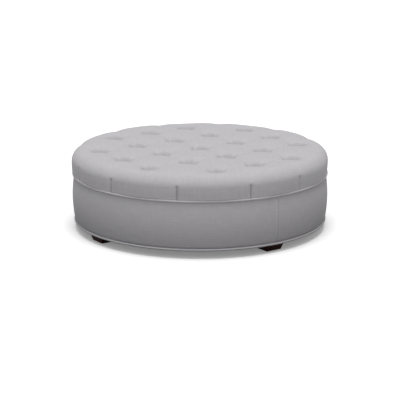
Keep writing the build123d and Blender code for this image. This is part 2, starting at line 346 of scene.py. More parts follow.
@dataclass(frozen=True)
class LinenCloth(Finish):
    """Woven linen blend in light grey: a plain weave whose uneven threads, or slubs, make faint streaks."""

    name: str = "linen_weave"
    colour: str = "c4c2c5"
    dark_thread: str = "b9b7ba"
    thread_mm: float = 1.6  # real threads are 0.7 mm apart, drawn coarser so that they show
    slub_width_mm: float = 5.0
    slub_length_mm: float = 70.0
    bias: float = 0.0

    def shader(self, tree: Tree) -> Node:
        """Slubs run both ways and tint the threads, and a fine weave lifts the surface.

        Args:
            tree: the node tree.

        Returns:
            The surface's node.
        """
        cloth = add_node(tree, "ShaderNodeUVMap", {"uv_map": "weave"})
        turn = (0, 0, radians(self.bias))
        turned = add_node(tree, "ShaderNodeMapping", Vector=cloth.outputs["UV"], Rotation=turn).outputs[0]
        across, along = 1 / (self.slub_width_mm * MM), 1 / (self.slub_length_mm * MM)
        slubs = []
        for scale in ((across, along, 1), (along, across, 1)):
            place = add_node(tree, "ShaderNodeMapping", Vector=turned, Scale=scale).outputs[0]
            flat = {"noise_dimensions": "2D"}
            slubs.append(add_node(tree, "ShaderNodeTexNoise", flat, Vector=place, Scale=1.0, Detail=3.0, Roughness=0.6))
        pair = {"i2": slubs[0].outputs[0], "i3": slubs[1].outputs[0]}
        both = add_node(tree, "ShaderNodeMix", {"data_type": "FLOAT"}, i0=0.38, **pair).outputs[0]
        ramp = add_node(tree, "ShaderNodeValToRGB", Fac=both)
        ramp.color_ramp.elements[0].position = 0.3
        ramp.color_ramp.elements[0].color = linear(self.dark_thread)
        ramp.color_ramp.elements[1].position = 0.62
        ramp.color_ramp.elements[1].color = linear(self.colour)
        threads = []
        for way in ("X", "Y"):
            bands = {"wave_type": "BANDS", "bands_direction": way}
            uneven = {"Distortion": 1.2, "Detail": 1.0, "Detail_Scale": 2.0}
            scale = 1 / (self.thread_mm * MM) / 10
            threads.append(add_node(tree, "ShaderNodeTexWave", bands, Vector=turned, Scale=scale, **uneven))
        over = {"i0": threads[0].outputs["Fac"], "i1": threads[1].outputs["Fac"]}
        weave = add_node(tree, "ShaderNodeMath", {"operation": "MAXIMUM"}, **over).outputs[0]
        relief = add_node(tree, "ShaderNodeMath", {"operation": "MULTIPLY_ADD"}, i0=both, i1=1.2, i2=weave)
        bump = add_node(tree, "ShaderNodeBump", Strength=0.25, Distance=0.4 * MM, Height=relief.outputs[0])
        return add_node(
            tree,
            "ShaderNodeBsdfPrincipled",
            Base_Color=ramp.outputs[0],
            Roughness=0.92,
            Specular_IOR_Level=0.2,
            Sheen_Weight=0.15,
            Sheen_Roughness=0.5,
            Normal=bump.outputs[0],
        )


@dataclass(frozen=True)
class StainedWood(Finish):
    """Hardwood stained espresso and lacquered: a nearly black brown with faint upright grain and a dull sheen."""

    name: str = "espresso_stained_hardwood"
    colour: str = "160502"
    light_grain: str = "2b0a04"
    grain_mm: float = 3.0
    grain_length_mm: float = 60.0
    roughness: float = 0.5
    gloss: float = 0.05
    upright: bool = True

    def shader(self, tree: Tree) -> Node:
        """Long narrow noise gives the grain its colour and its slight pores.

        Args:
            tree: the node tree.

        Returns:
            The surface's node.
        """
        place = add_node(tree, "ShaderNodeTexCoord")
        across, along = 1 / (self.grain_mm * MM), 1 / (self.grain_length_mm * MM)
        scale = (across, across, along) if self.upright else (along, across, across)
        stretched = add_node(tree, "ShaderNodeMapping", Vector=place.outputs["Object"], Scale=scale)
        grain = add_node(tree, "ShaderNodeTexNoise", Vector=stretched.outputs[0], Scale=1.0, Detail=6.0, Distortion=0.6)
        ramp = add_node(tree, "ShaderNodeValToRGB", Fac=grain.outputs[0])
        ramp.color_ramp.elements[0].position = 0.35
        ramp.color_ramp.elements[0].color = linear(self.colour)
        ramp.color_ramp.elements[1].position = 0.7
        ramp.color_ramp.elements[1].color = linear(self.light_grain)
        bump = add_node(tree, "ShaderNodeBump", Strength=0.2, Distance=0.2 * MM, Height=grain.outputs[0])
        return add_node(
            tree,
            "ShaderNodeBsdfPrincipled",
            Base_Color=ramp.outputs[0],
            Roughness=self.roughness,
            Specular_IOR_Level=self.gloss,
            Normal=bump.outputs[0],
        )


@dataclass(frozen=True)
class Fleece(Finish):
    """Soft fibre or foam: an even pale body with a fine grain of fibres or pores."""

    name: str = "polyester_wadding"
    colour: str = "f1f1ee"
    shade: str = "dededa"
    grain_mm: float = 4.0
    roughness: float = 0.95

    def shader(self, tree: Tree) -> Node:
        """Fine noise mixes the two shades and roughens the surface.

        Args:
            tree: the node tree.

        Returns:
            The surface's node.
        """
        place = add_node(tree, "ShaderNodeTexCoord").outputs["Object"]
        grain = add_node(tree, "ShaderNodeTexNoise", Vector=place, Scale=1 / (self.grain_mm * MM), Detail=4.0)
        ramp = add_node(tree, "ShaderNodeValToRGB", Fac=grain.outputs[0])
        ramp.color_ramp.elements[0].color = linear(self.shade)
        ramp.color_ramp.elements[1].color = linear(self.colour)
        bump = add_node(tree, "ShaderNodeBump", Strength=0.4, Distance=0.5 * MM, Height=grain.outputs[0])
        surface = {"Base_Color": ramp.outputs[0], "Roughness": self.roughness, "Normal": bump.outputs[0]}
        return add_node(tree, "ShaderNodeBsdfPrincipled", **surface)


@dataclass(frozen=True)
class ZincPlate(Finish):
    """Zinc-plated steel: bright grey metal with a faintly mottled, slightly rough plating."""

    name: str = "zinc_plated_steel"
    colour: str = "b9babc"
    mottle_mm: float = 3.0

    def shader(self, tree: Tree) -> Node:
        """Mottling varies the roughness.

        Args:
            tree: the node tree.

        Returns:
            The surface's node.
        """
        place = add_node(tree, "ShaderNodeTexCoord").outputs["Object"]
        mottle = add_node(tree, "ShaderNodeTexNoise", Vector=place, Scale=1 / (self.mottle_mm * MM), Detail=2.0)
        spread = add_node(tree, "ShaderNodeMapRange", Value=mottle.outputs[0], To_Min=0.28, To_Max=0.45)
        surface = {"Base_Color": linear(self.colour), "Metallic": 1.0, "Roughness": spread.outputs[0]}
        return add_node(tree, "ShaderNodeBsdfPrincipled", **surface)


class Finishes(Enum):
    """The ottoman's finishes by use."""

    CLOTH = LinenCloth()
    PIPING = LinenCloth(name="linen_weave_on_the_bias", bias=45.0, slub_width_mm=4.0, slub_length_mm=30.0)
    FOOT = StainedWood()
    BEECH = StainedWood("planed_beech", "b98f63", "cfa97c", 2.0, 45.0, 0.6)
    PLYWOOD = StainedWood("sanded_birch_plywood", "c9a877", "dcc197", 4.0, 90.0, 0.6, upright=False)
    WADDING = Fleece()
    FOAM = Fleece("polyurethane_foam", "efe3bd", "dfd0a4", 1.5)
    DUST_CLOTH = Fleece("spunbonded_black_cloth", "17171a", "0e0e10", 2.0, 0.85)
    TWINE = Fleece("waxed_tufting_twine", "d9cfb8", "b8ac91", 0.8, 0.6)
    NYLON = Fleece("moulded_nylon", "565350", "4c4946", 6.0, 0.45)
    STEEL = ZincPlate()


# The cushion


@dataclass(frozen=True)
class Tufting:
    """Where the tufts and pleats are, as in the solids."""

    spacing: float = 212.38 * MM
    steps: int = 3

    def half_diagonal(self) -> float:
        """Half the diagonal of a pillow."""
        return hypot(self.spacing, self.spacing) / 2

    def places(self, odd: int, reach: int) -> np.ndarray:
        """Places of the lattice, which stands on its corner.

        Args:
            odd: 0 for the tufts and 1 for the pillows' middles.
            reach: how many steps out from the middle, counted along both axes together.

        Returns:
            A row x, y for each.
        """
        half = self.half_diagonal()
        span = range(-self.steps, self.steps + 1)
        chosen = [(i, j) for i in span for j in span if (i + j) % 2 == odd and abs(i) + abs(j) <= reach]
        return np.array([(i * half, j * half) for i, j in chosen])

    def tufts(self) -> np.ndarray:
        """The 21 tufts."""
        return self.places(0, self.steps + 1)

    def pillows(self) -> np.ndarray:
        """The middles of the 16 pillows that have a tuft at each corner, or nearly so."""
        return self.places(1, self.steps)

    def pleats(self) -> np.ndarray:
        """Works out the pleats, each halfway between two neighbours of the outer tufts.

        Returns:
            Their angles in radians, from 0 up.
        """
        tufts = self.tufts()
        outer = tufts[np.hypot(*tufts.T) > hypot(2, 1) * self.half_diagonal()]
        angles = np.sort(np.arctan2(outer[:, 1], outer[:, 0]) % tau)
        following = np.append(angles[1:], angles[0] + tau)
        return np.sort(((angles + following) / 2) % tau)

    def reaches(self, places: np.ndarray) -> np.ndarray:
        """Distance from each place to each tuft."""
        return np.hypot(*(places[:, None] - self.tufts()[None]).transpose(2, 0, 1))


class Membrane:
    """Cloth that filling blows up and tufts hold down: the exact shape of a round membrane with held points."""

    full_pillow_reach: float = 400.0 * MM

    def __init__(self, tufting: Tufting, edge: float, tuft_radius: float, drop: float) -> None:
        """Solves how hard each tuft pulls, and the load that brings the full pillows' middles level with the crown.

        Args:
            tufting: where the tufts are.
            edge: radius at which the membrane is level with the crown.
            tuft_radius: radius of a tuft's floor.
            drop: depth of the tufts below the crown.
        """
        self.tufts = tufting.tufts()
        self.edge = edge
        self.tuft_radius = tuft_radius
        middles = tufting.pillows()
        middles = middles[np.hypot(*middles.T) < self.full_pillow_reach]
        pulls = self.pull_shapes(self.tufts)
        even = np.linalg.solve(pulls, np.full(len(self.tufts), -drop))
        loaded = np.linalg.solve(pulls, -self.load_shape(self.tufts))
        low = float(np.mean(self.pull_shapes(middles) @ even))
        rise = float(np.mean(self.load_shape(middles) + self.pull_shapes(middles) @ loaded))
        self.load = -low / rise
        self.pulls = even + self.load * loaded

    def load_shape(self, places: np.ndarray) -> np.ndarray:
        """Rise of a membrane with no tufts under a unit load."""
        return (self.edge**2 - np.sum(places**2, axis=1)) / 4

    def pull_shapes(self, places: np.ndarray) -> np.ndarray:
        """Works out what a unit pull at each tuft gives.

        Args:
            places: a row x, y for each.

        Returns:
            A row for each place, with a height for each tuft.
        """
        gap = np.sum((places[:, None] - self.tufts[None]) ** 2, axis=2) + self.tuft_radius**2
        sizes = np.sum(places**2, axis=1)[:, None] * np.sum(self.tufts**2, axis=1)[None]
        mirrored = sizes / self.edge**2 - 2 * places @ self.tufts.T + self.edge**2
        return np.log(gap / np.maximum(mirrored, 1e-12)) / 2

    def height(self, places: np.ndarray) -> np.ndarray:
        """Height over the crown at each place, negative in the tufts."""
        return self.load * self.load_shape(places) + self.pull_shapes(places) @ self.pulls


@dataclass(frozen=True)
class Pleat:
    """A pleat's groove with a wider mouth near its top, the folded lip beside it and the small tip over it."""

    top: float = 333.0 * MM
    foot: tuple[float, float] = (266 * MM, 269 * MM)
    fade: float = 8.0 * MM
    depth: float = 8.0 * MM
    half: float = 2.6 * MM
    mouth_drop: float = 9.0 * MM
    mouth_half: float = 7.0 * MM
    mouth_share: float = 0.7
    lip_height: float = 1.0 * MM
    lip_gap: float = 6.0 * MM
    lip_half: float = 3.0 * MM
    tip_height: float = 1.5 * MM
    tip_half: float = 5.0 * MM

    def relief(self, arc: np.ndarray, heights: np.ndarray) -> np.ndarray:
        """Works out how far the cushion's side moves out.

        Args:
            arc: distance round the side from the nearest pleat, at each place.
            heights: the places' heights.

        Returns:
            A distance for each, negative in the groove.
        """
        below = step(self.top - heights, 0, self.fade) * step(heights, *self.foot)
        mouth = 1 + self.mouth_share * hill(heights - self.top + self.mouth_drop, self.mouth_half)
        groove = hill(arc, self.half * mouth) * below
        lip = hill(arc + self.lip_gap, self.lip_half) * below
        tip = hill(arc, self.tip_half) * hill(heights - self.top - self.tip_half, self.tip_half)
        return lip * self.lip_height + tip * self.tip_height - groove * self.depth


@dataclass(frozen=True)
class CoverCloth:
    """How the linen gives in the simulation, and the air that stands for its filling."""

    quality: int = 6
    mass: float = 0.3
    tension_stiffness: float = 15.0
    compression_stiffness: float = 15.0
    shear_stiffness: float = 8.0
    bending_stiffness: float = 0.6
    use_pressure: bool = True
    uniform_pressure_force: float = 4.0
    vertex_group_mass: str = "held"
    shrink_min: float = -0.03


@dataclass
class Cushion:
    """The tufted cushion: its cover and the twines that hold it. A run is a distance along its section."""

    tufting: Tufting
    pleat: Pleat
    radius: float = 609.2 * MM
    top: float = 377.4 * MM
    rim_round: float = 56.0 * MM
    side_foot: float = 300.0 * MM
    seam_mm: tuple[tuple[float, float], ...] = (
        (608.2, 284.0),
        (607.6, 275.0),
        (607.2, 270.0),
        (606.8, 267.6),
        (605.8, 267.0),
        (604.2, 268.1),
        (602.4, 268.3),
        (599.2, 267.7),
        (596.4, 266.4),
        (592.0, 265.8),
        (HEM_INNER / MM, 265.8),
    )
    seam_rows: float = 2.5  # how much closer the rows of faces are at the seam
    membrane_edge: float = 604.0 * MM
    pillow_fall: float = 15.0 * MM
    pillow_soft: float = 24.0 * MM
    tuft_depth: float = 46.0 * MM
    tuft_floor: float = 4.0 * MM
    tuft_rim: float = 48.0 * MM
    tuft_core: float = 5.0 * MM
    core_rim: float = 15.0 * MM
    tuft_reach: float = 90.0 * MM
    tuft_power: float = 0.5
    crease_depth: float = 6.0 * MM
    crease_half: float = 18.0 * MM
    crease_fade: tuple[float, float] = (440 * MM, 500 * MM)
    relief_fade: tuple[float, float] = (535 * MM, 625 * MM)
    border_dip: float = 4.0 * MM
    border_half: float = 40.0 * MM
    border_start: tuple[float, float] = (490 * MM, 560 * MM)
    border_end: tuple[float, float] = (580 * MM, 660 * MM)
    pleat_draw: float = 7.0 * MM
    pleat_draw_start: tuple[float, float] = (440 * MM, 560 * MM)
    pleat_reach: float = 30.0 * MM
    pleat_from: float = 560.0 * MM
    gather_start: tuple[float, float] = (460 * MM, 540 * MM)
    side_from: float = 585.0 * MM
    grid_radius: float = 500.0 * MM
    half_count: int = 40
    held_reach: float = 14.0 * MM
    held_from: float = 600.0 * MM
    most_give: float = 3.0 * MM
    give_fade: tuple[float, float] = (500 * MM, 580 * MM)
    frames: int = 20
    evening_rounds: int = 6
    twine_radius: float = 1.5 * MM
    twine_foot: float = 263.0 * MM
    knot_radius: float = 3.6 * MM
    knot_height: float = 261.2 * MM

    def section(self) -> tuple[np.ndarray, np.ndarray, np.ndarray]:
        """Section of the cushion from the middle of the top over the rim, down to the welt and in to the hem.

        Returns:
            Runs, with the radius and height at each.
        """
        flat = self.radius - self.rim_round
        centre = self.top - self.rim_round
        points = [(share * flat, self.top) for share in np.linspace(0, 1, 6)]
        for turn in np.linspace(0, pi / 2, 25)[1:]:
            points.append((flat + self.rim_round * sin(turn), centre + self.rim_round * cos(turn)))
        points.append((self.radius, self.side_foot))
        points += [(radius * MM, height * MM) for radius, height in self.seam_mm]
        radii, heights = np.array(points).T
        steps = np.hypot(np.diff(radii), np.diff(heights))
        steps[1 - len(self.seam_mm) :] *= self.seam_rows
        return np.append(0, np.cumsum(steps)), radii, heights

    def laid_flat(self, name: str) -> Piece:
        """The cloth laid out as a disc: a square grid made round, with rings extruded from its rim.

        Args:
            name: the object's name.

        Returns:
            A flat mesh whose distances from the middle are runs.
        """
        count, width = 2 * self.half_count, 2 * self.grid_radius
        piece = fresh(name, bpy.ops.mesh.primitive_grid_add, x_subdivisions=count, y_subdivisions=count, size=width)
        square = points_of(piece.data) / self.grid_radius
        a, b = square[:, 0], square[:, 1]
        wide = np.abs(a) > np.abs(b)
        with np.errstate(divide="ignore", invalid="ignore"):
            angle = np.nan_to_num(np.where(wide, pi / 4 * b / a, pi / 2 - pi / 4 * a / b))
        reach = np.where(wide, a, b) * self.grid_radius
        move_points(piece, np.column_stack([reach * np.cos(angle), reach * np.sin(angle), np.zeros(len(a))]))
        rest = self.section()[0][-1] - self.grid_radius
        rings = round(rest / (self.grid_radius / self.half_count))
        bpy.ops.object.mode_set(mode="EDIT")
        bpy.ops.mesh.select_mode(type="EDGE")
        bpy.ops.mesh.select_all(action="DESELECT")
        others = {"use_wire": False, "use_multi_face": False, "use_non_contiguous": False, "use_verts": False}
        bpy.ops.mesh.select_non_manifold(extend=False, use_boundary=True, **others)
        for ring in range(rings):
            now, following = self.grid_radius + rest * ring / rings, self.grid_radius + rest * (ring + 1) / rings
            bpy.ops.mesh.extrude_region_move()
            bpy.ops.transform.resize(value=(following / now, following / now, 1), center_override=(0, 0, 0))
        face_outwards()
        return piece

    def from_pleat(self, angle: np.ndarray) -> tuple[np.ndarray, np.ndarray]:
        """Sets angles against the pleats.

        Args:
            angle: the angles.

        Returns:
            For each the angle from the nearest pleat, and the share of the way from it to the middle of its lobe.
        """
        marks = all_round(self.tufting.pleats())
        gaps = angle[:, None] - marks[None]
        pick = np.argmin(np.abs(gaps), axis=1)
        offset = gaps[np.arange(len(angle)), pick]
        lobe = np.abs(marks[np.where(offset > 0, pick + 1, pick - 1)] - marks[pick])
        return offset, np.clip(2 * np.abs(offset) / lobe, 0, 1)

    def gathered(self, angle: np.ndarray, run: np.ndarray, columns: int) -> np.ndarray:
        """Turns the outer columns of the layout so that some fall on the pleats and others close by.

        Args:
            angle: each point's angle.
            run: each point's run.
            columns: how many columns the layout has all round.

        Returns:
            The new angles.
        """
        pleats = self.tufting.pleats()
        column = tau / columns
        snapped = np.interp(angle, all_round(np.round(pleats / column) * column), all_round(pleats))
        offset, _ = self.from_pleat(snapped)
        reach = self.pleat_reach / self.radius
        share = np.clip(np.abs(offset) / reach, 0, 1)
        drawn = snapped - offset + np.sign(offset) * np.where(share < 1, reach * share**2, np.abs(offset))
        return angle + (drawn - angle) * step(run, *self.gather_start)

    def spread(self, places: np.ndarray) -> np.ndarray:
        """Moves the places near each tuft outwards from it, which gives its wall the cloth that the depth takes.

        Args:
            places: a row x, y for each.

        Returns:
            The new places.
        """
        tufts, reach = self.tufting.tufts(), self.tufting.reaches(places)
        pick = np.argmin(reach, axis=1)
        share = np.clip(reach[np.arange(len(places)), pick] / self.tuft_reach, 1e-6, 1)
        return tufts[pick] + (places - tufts[pick]) * share[:, None] ** self.tuft_power

    def shaped(self, flat_points: np.ndarray, columns: int, pleated: bool = True) -> np.ndarray:
        """Takes the layout to the cushion's form.

        Args:
            flat_points: the layout's points.
            columns: how many columns it has all round.
            pleated: whether the pleats are cut in.

        Returns:
            The points in space.
        """
        run = np.hypot(flat_points[:, 0], flat_points[:, 1])
        angle = self.gathered(np.arctan2(flat_points[:, 1], flat_points[:, 0]), run, columns)
        runs, section_radii, section_heights = self.section()
        radii, heights = np.interp(run, runs, section_radii), np.interp(run, runs, section_heights)
        offset, share = self.from_pleat(angle)
        arc = offset * self.radius
        radii = radii - self.pleat_draw * step(run, *self.pleat_draw_start) * (1 - share) ** 2
        if pleated:
            radii = radii + self.pleat.relief(arc, heights) * (run > self.pleat_from)
        places = self.spread(np.column_stack([radii * np.cos(angle), radii * np.sin(angle)]))
        border = hill(arc, self.border_half) * step(run, *self.border_start) * (1 - step(run, *self.border_end))
        heights = heights + self.relief(places) * (1 - step(run, *self.relief_fade)) - self.border_dip * border
        return np.column_stack([places, heights])

    def relief(self, places: np.ndarray) -> np.ndarray:
        """Shapes the pillows, creases and tufts.

        Args:
            places: a row x, y for each.

        Returns:
            The height over the crown at each place.
        """
        swell = Membrane(self.tufting, self.membrane_edge, self.pillow_soft, self.pillow_fall).height(places)
        reach = self.tufting.reaches(places)
        pits = (1 - step(reach, self.tuft_floor, self.tuft_rim)).sum(axis=1) * self.tuft_depth
        cores = (1 - step(reach, 0, self.core_rim)).sum(axis=1) * self.tuft_core
        turned = places @ np.array([[1, 1], [1, -1]]) / sqrt(2) / self.tufting.spacing
        off = np.abs(turned - np.round(turned)) * self.tufting.spacing
        creases = hill(off, self.crease_half).max(axis=1) * (1 - step(np.hypot(*places.T), *self.crease_fade))
        return swell - pits - cores - self.crease_depth * creases

    def blown_up(self, trial: Piece, held: np.ndarray) -> np.ndarray:
        """Runs the cloth simulation.

        Args:
            trial: a copy of the cover.
            held: for each point whether it stays where it is.

        Returns:
            Where the points end.
        """
        linen = CoverCloth()
        group = trial.vertex_groups.new(name=linen.vertex_group_mass)
        group.add(np.flatnonzero(held).tolist(), 1.0, "REPLACE")
        cloth = trial.modifiers.new("Cloth", "CLOTH")
        for name, value in asdict(linen).items():
            setattr(cloth.settings, name, value)
        cloth.settings.effector_weights.gravity = 0
        cloth.point_cache.frame_start, cloth.point_cache.frame_end = 1, self.frames
        for number in range(1, self.frames + 1):
            bpy.context.scene.frame_set(number)
        return points_of(trial.evaluated_get(bpy.context.evaluated_depsgraph_get()).to_mesh())

    def evened(self, piece: Piece, give: np.ndarray) -> np.ndarray:
        """Averages what the points of a mesh gave with their neighbours, which takes the small waves out.

        Args:
            piece: the mesh.
            give: a row x, y, z for each of its points.

        Returns:
            The evened rows.
        """
        ends = np.zeros(len(piece.data.edges) * 2, dtype=int)
        piece.data.edges.foreach_get("vertices", ends)
        one, other = ends.reshape(-1, 2).T
        neighbours = np.bincount(np.append(one, other), minlength=len(give))[:, None]
        for _ in range(self.evening_rounds):
            around = np.zeros_like(give)
            np.add.at(around, one, give[other])
            np.add.at(around, other, give[one])
            give = (give + around / neighbours) / 2
        return give

    def puffed(self, cage: Piece, columns: int) -> None:
        """Lets a cloth simulation blow up the cover over its filling, and keeps how far each point gave.

        Args:
            cage: the flat layout, which gets the attribute give.
            columns: how many columns it has all round.
        """
        flat_points = points_of(cage.data)
        start = self.shaped(flat_points, columns, pleated=False)
        give = np.zeros_like(start)
        run = np.hypot(flat_points[:, 0], flat_points[:, 1])
        near = self.tufting.reaches(start[:, :2]).min(axis=1)
        select_only(cage)
        bpy.ops.object.duplicate()
        trial = bpy.context.active_object
        move_points(trial, start)
        give = self.blown_up(trial, (near < self.held_reach) | (run > self.held_from)) - start
        size = np.linalg.norm(give, axis=1)[:, None]
        log.info("the cover gave %.1f mm at most", size.max() / MM)
        give = give * np.minimum(1, self.most_give / np.maximum(size, 1e-9))
        give = self.evened(trial, give) * (1 - step(run, *self.give_fade))[:, None]
        bpy.data.objects.remove(trial)
        bpy.context.scene.frame_set(1)
        attribute = cage.data.attributes.new("give", "FLOAT_VECTOR", "POINT")
        attribute.data.foreach_set("vector", give.ravel())

    def lay_weave(self, cover: Piece, flat_points: np.ndarray, places: np.ndarray) -> None:
        """Lays the weave: straight over the top, and upright down the side.

        Args:
            cover: the shaped cover.
            flat_points: its points in the layout.
            places: its points in space.
        """
        numbers = corner_points(cover)
        counts = [len(face.vertices) for face in cover.data.polygons]
        faces = np.repeat(np.arange(len(counts)), counts)
        run = np.hypot(flat_points[:, 0], flat_points[:, 1])[numbers]
        angle = np.arctan2(flat_points[:, 1], flat_points[:, 0])[numbers]
        side = (np.bincount(faces, run) / counts)[faces] > self.side_from
        across = np.where(side, unwrapped(cover, angle) * self.radius, places[numbers, 0])
        along = np.where(side, run, places[numbers, 1])
        set_weave(cover, np.column_stack([across, along]))

    def build_cover(self) -> Piece:
        """The tufted and pleated cloth, with its hem turned in under the deck.

        Returns:
            The piece.
        """
        columns = 8 * self.half_count
        cover = self.laid_flat("tufted_cover")
        self.puffed(cover, columns)
        finish_with(cover, "SUBSURF", subdivision_type="SIMPLE", levels=1, render_levels=1)
        flat_points = points_of(cover.data)
        give = np.zeros(len(flat_points) * 3)
        cover.data.attributes["give"].data.foreach_get("vector", give)
        places = self.shaped(flat_points, 2 * columns) + give.reshape(-1, 3)
        move_points(cover, places)
        self.lay_weave(cover, flat_points, places)
        finish_with(cover, "SOLIDIFY", thickness=CLOTH, offset=-1)
        smooth(cover, 60)
        stand_for(cover, "grey_linen", Finishes.CLOTH.value, "top_cover", "wadding", "foam_pad")
        return cover

    def build_twines(self) -> Piece:
        """A twine from each tuft down through foam and deck, with its knot under the washer.

        Returns:
            The piece.
        """
        depth = self.pillow_fall + self.tuft_depth + self.tuft_core + self.crease_depth
        low, high = self.twine_foot, self.top - depth - CLOTH - 1 * MM
        cord = fresh(
            "cord",
            bpy.ops.mesh.primitive_cylinder_add,
            vertices=10,
            radius=self.twine_radius,
            depth=high - low,
            location=(0, 0, (low + high) / 2),
        )
        knot = fresh(
            "knot",
            bpy.ops.mesh.primitive_uv_sphere_add,
            segments=12,
            ring_count=8,
            radius=self.knot_radius,
            location=(0, 0, self.knot_height),
            scale=(1, 1, 0.5),
        )
        places = [Matrix.Translation((x, y, 0)) for x, y in self.tufting.tufts()]
        twines = repeated("tufting_twines", joined("twine", [cord, knot]), places)
        smooth(twines, 50)
        stand_for(twines, "twine", Finishes.TWINE.value, "tuft_twines")
        return twines


# The base


@dataclass
class BaseCover:
    """The cover of the drum in two halves, whose seams lie over two of the feet."""

    bottom: float = 45.8 * MM
    top: float = 263.2 * MM
    fullest: float = 608.1 * MM
    round_centre: float = 589.4 * MM
    seam_round: float = 10.0 * MM
    seam_angle: float = -45.0
    columns: int = 260
    rows: int = 64
    crowding: float = 0.9  # how much closer the columns are at the seams, from 0 to 1
    tuck_depth: float = 3.0 * MM
    tuck_half: float = 2.0 * MM
    allowance_end: tuple[float, float] = (8 * MM, 15 * MM)
    allowance_left: float = 2.4 * MM
    allowance_right: float = 0.3 * MM
    seam_clear: tuple[float, float] = (6 * MM, 16 * MM)
    weave_length: float = 310.0 * MM

    def section(self, count: int) -> tuple[np.ndarray, np.ndarray]:
        """Section of the cover from the lower hem's edge up and over to the upper one.

        Args:
            count: how many points it has.

        Returns:
            Radii and heights, evenly spaced along the section.
        """
        middle, rise = (self.bottom + self.top) / 2, (self.top - self.bottom) / 2 - self.seam_round
        angle = 2 * atan((self.fullest - self.round_centre - self.seam_round) / rise)
        barrel = rise / sin(angle) + self.seam_round
        arcs = (
            (self.round_centre, middle - rise, self.seam_round, np.linspace(-pi / 2, -angle, 9)),
            (self.fullest - barrel, middle, barrel, np.linspace(-angle, angle, 25)[1:-1]),
            (self.round_centre, middle + rise, self.seam_round, np.linspace(angle, pi / 2, 9)),
        )
        points = [(HEM_INNER, self.bottom)]
        for centre, height, radius, turns in arcs:
            points += [(centre + radius * cos(turn), height + radius * sin(turn)) for turn in turns]
        points.append((HEM_INNER, self.top))
        radii, heights = np.array(points).T
        runs = np.append(0, np.cumsum(np.hypot(np.diff(radii), np.diff(heights))))
        even = np.linspace(0, runs[-1], count)
        return np.interp(even, runs, radii), np.interp(even, runs, heights)

    def build(self, start: float, name: str, *inner: str) -> Piece:
        """One half of the cover, from its seam at an angle in degrees round to the other seam.

        Args:
            start: where it starts.
            name: the CAD node that it stands for.
            *inner: other nodes that it stands for.

        Returns:
            The piece.
        """
        counts = {"x_subdivisions": self.columns, "y_subdivisions": self.rows}
        cover = fresh(f"{name}_cloth", bpy.ops.mesh.primitive_grid_add, size=1, **counts)
        flat_points = points_of(cover.data)
        share = np.round((flat_points[:, 0] + 0.5) * self.columns) / self.columns
        row = np.round((flat_points[:, 1] + 0.5) * self.rows).astype(int)
        share = share - self.crowding * np.sin(tau * share) / tau
        angle = radians(start) + pi * share
        radii, heights = (values[row] for values in self.section(self.rows + 1))
        from_seam = np.minimum(share, 1 - share) * pi * self.fullest
        tuck = hill(from_seam, self.tuck_half) * self.tuck_depth
        allowance = np.where(share > 0.5, self.allowance_left, self.allowance_right)
        allowance = (1 - step(from_seam, *self.allowance_end)) * allowance
        on_side = step(heights - self.bottom, *self.seam_clear) * step(self.top - heights, *self.seam_clear)
        radii = radii + (allowance - tuck) * on_side
        move_points(cover, np.column_stack([radii * np.cos(angle), radii * np.sin(angle), heights]))
        cloth_places = np.column_stack([row / self.rows * self.weave_length, share * pi * self.fullest])
        set_weave(cover, cloth_places[corner_points(cover)])
        select_only(cover)
        bpy.ops.object.mode_set(mode="EDIT")
        face_outwards()
        if sum(f.normal.x * f.center.x + f.normal.y * f.center.y for f in cover.data.polygons) < 0:
            cover.data.flip_normals()
        finish_with(cover, "SOLIDIFY", thickness=CLOTH, offset=-1)
        smooth(cover, 60)
        stand_for(cover, "grey_linen", Finishes.CLOTH.value, name, *inner)
        return cover


@dataclass
class Welt:
    """Piping: cloth round a filler cord that sags a little below the seam, and the lip that is sewn into it."""

    node: str
    reach: float
    height: float
    sag: float
    radius: float = 5.2 * MM
    lip: float = 1.6 * MM
    rolls: int = 320
    sides: int = 16

    def build(self) -> Piece:
        """The roll and its lip as one piece.

        Returns:
            The piece.
        """
        name = f"{self.node}_piping"
        roll = fresh(
            name,
            bpy.ops.mesh.primitive_torus_add,
            location=(0, 0, self.height - self.sag),
            major_segments=self.rolls,
            minor_segments=self.sides,
            major_radius=self.reach,
            minor_radius=self.radius,
        )
        lip = fresh(
            "lip",
            bpy.ops.mesh.primitive_circle_add,
            vertices=self.rolls,
            radius=HEM_INNER,
            fill_type="NOTHING",
            location=(0, 0, self.height - self.lip / 2),
        )
        wider = self.reach / HEM_INNER
        bpy.ops.object.mode_set(mode="EDIT")
        bpy.ops.mesh.select_all(action="SELECT")
        bpy.ops.mesh.extrude_region_move()
        bpy.ops.transform.resize(value=(wider, wider, 1), center_override=(0, 0, self.height))
        bpy.ops.mesh.select_all(action="SELECT")
        bpy.ops.mesh.extrude_region_move(TRANSFORM_OT_translate={"value": (0, 0, self.lip)})
        face_outwards()
        welt = joined(name, [roll, lip])
        x, y, z = points_of(welt.data)[corner_points(welt)].T
        around = unwrapped(welt, np.arctan2(y, x))
        turn = unwrapped(welt, np.arctan2(z - self.height, np.hypot(x, y) - self.reach))
        set_weave(welt, np.column_stack([around * self.reach, turn * self.radius]))
        smooth(welt, 50)
        stand_for(welt, "grey_linen", Finishes.PIPING.value, self.node)
        return welt


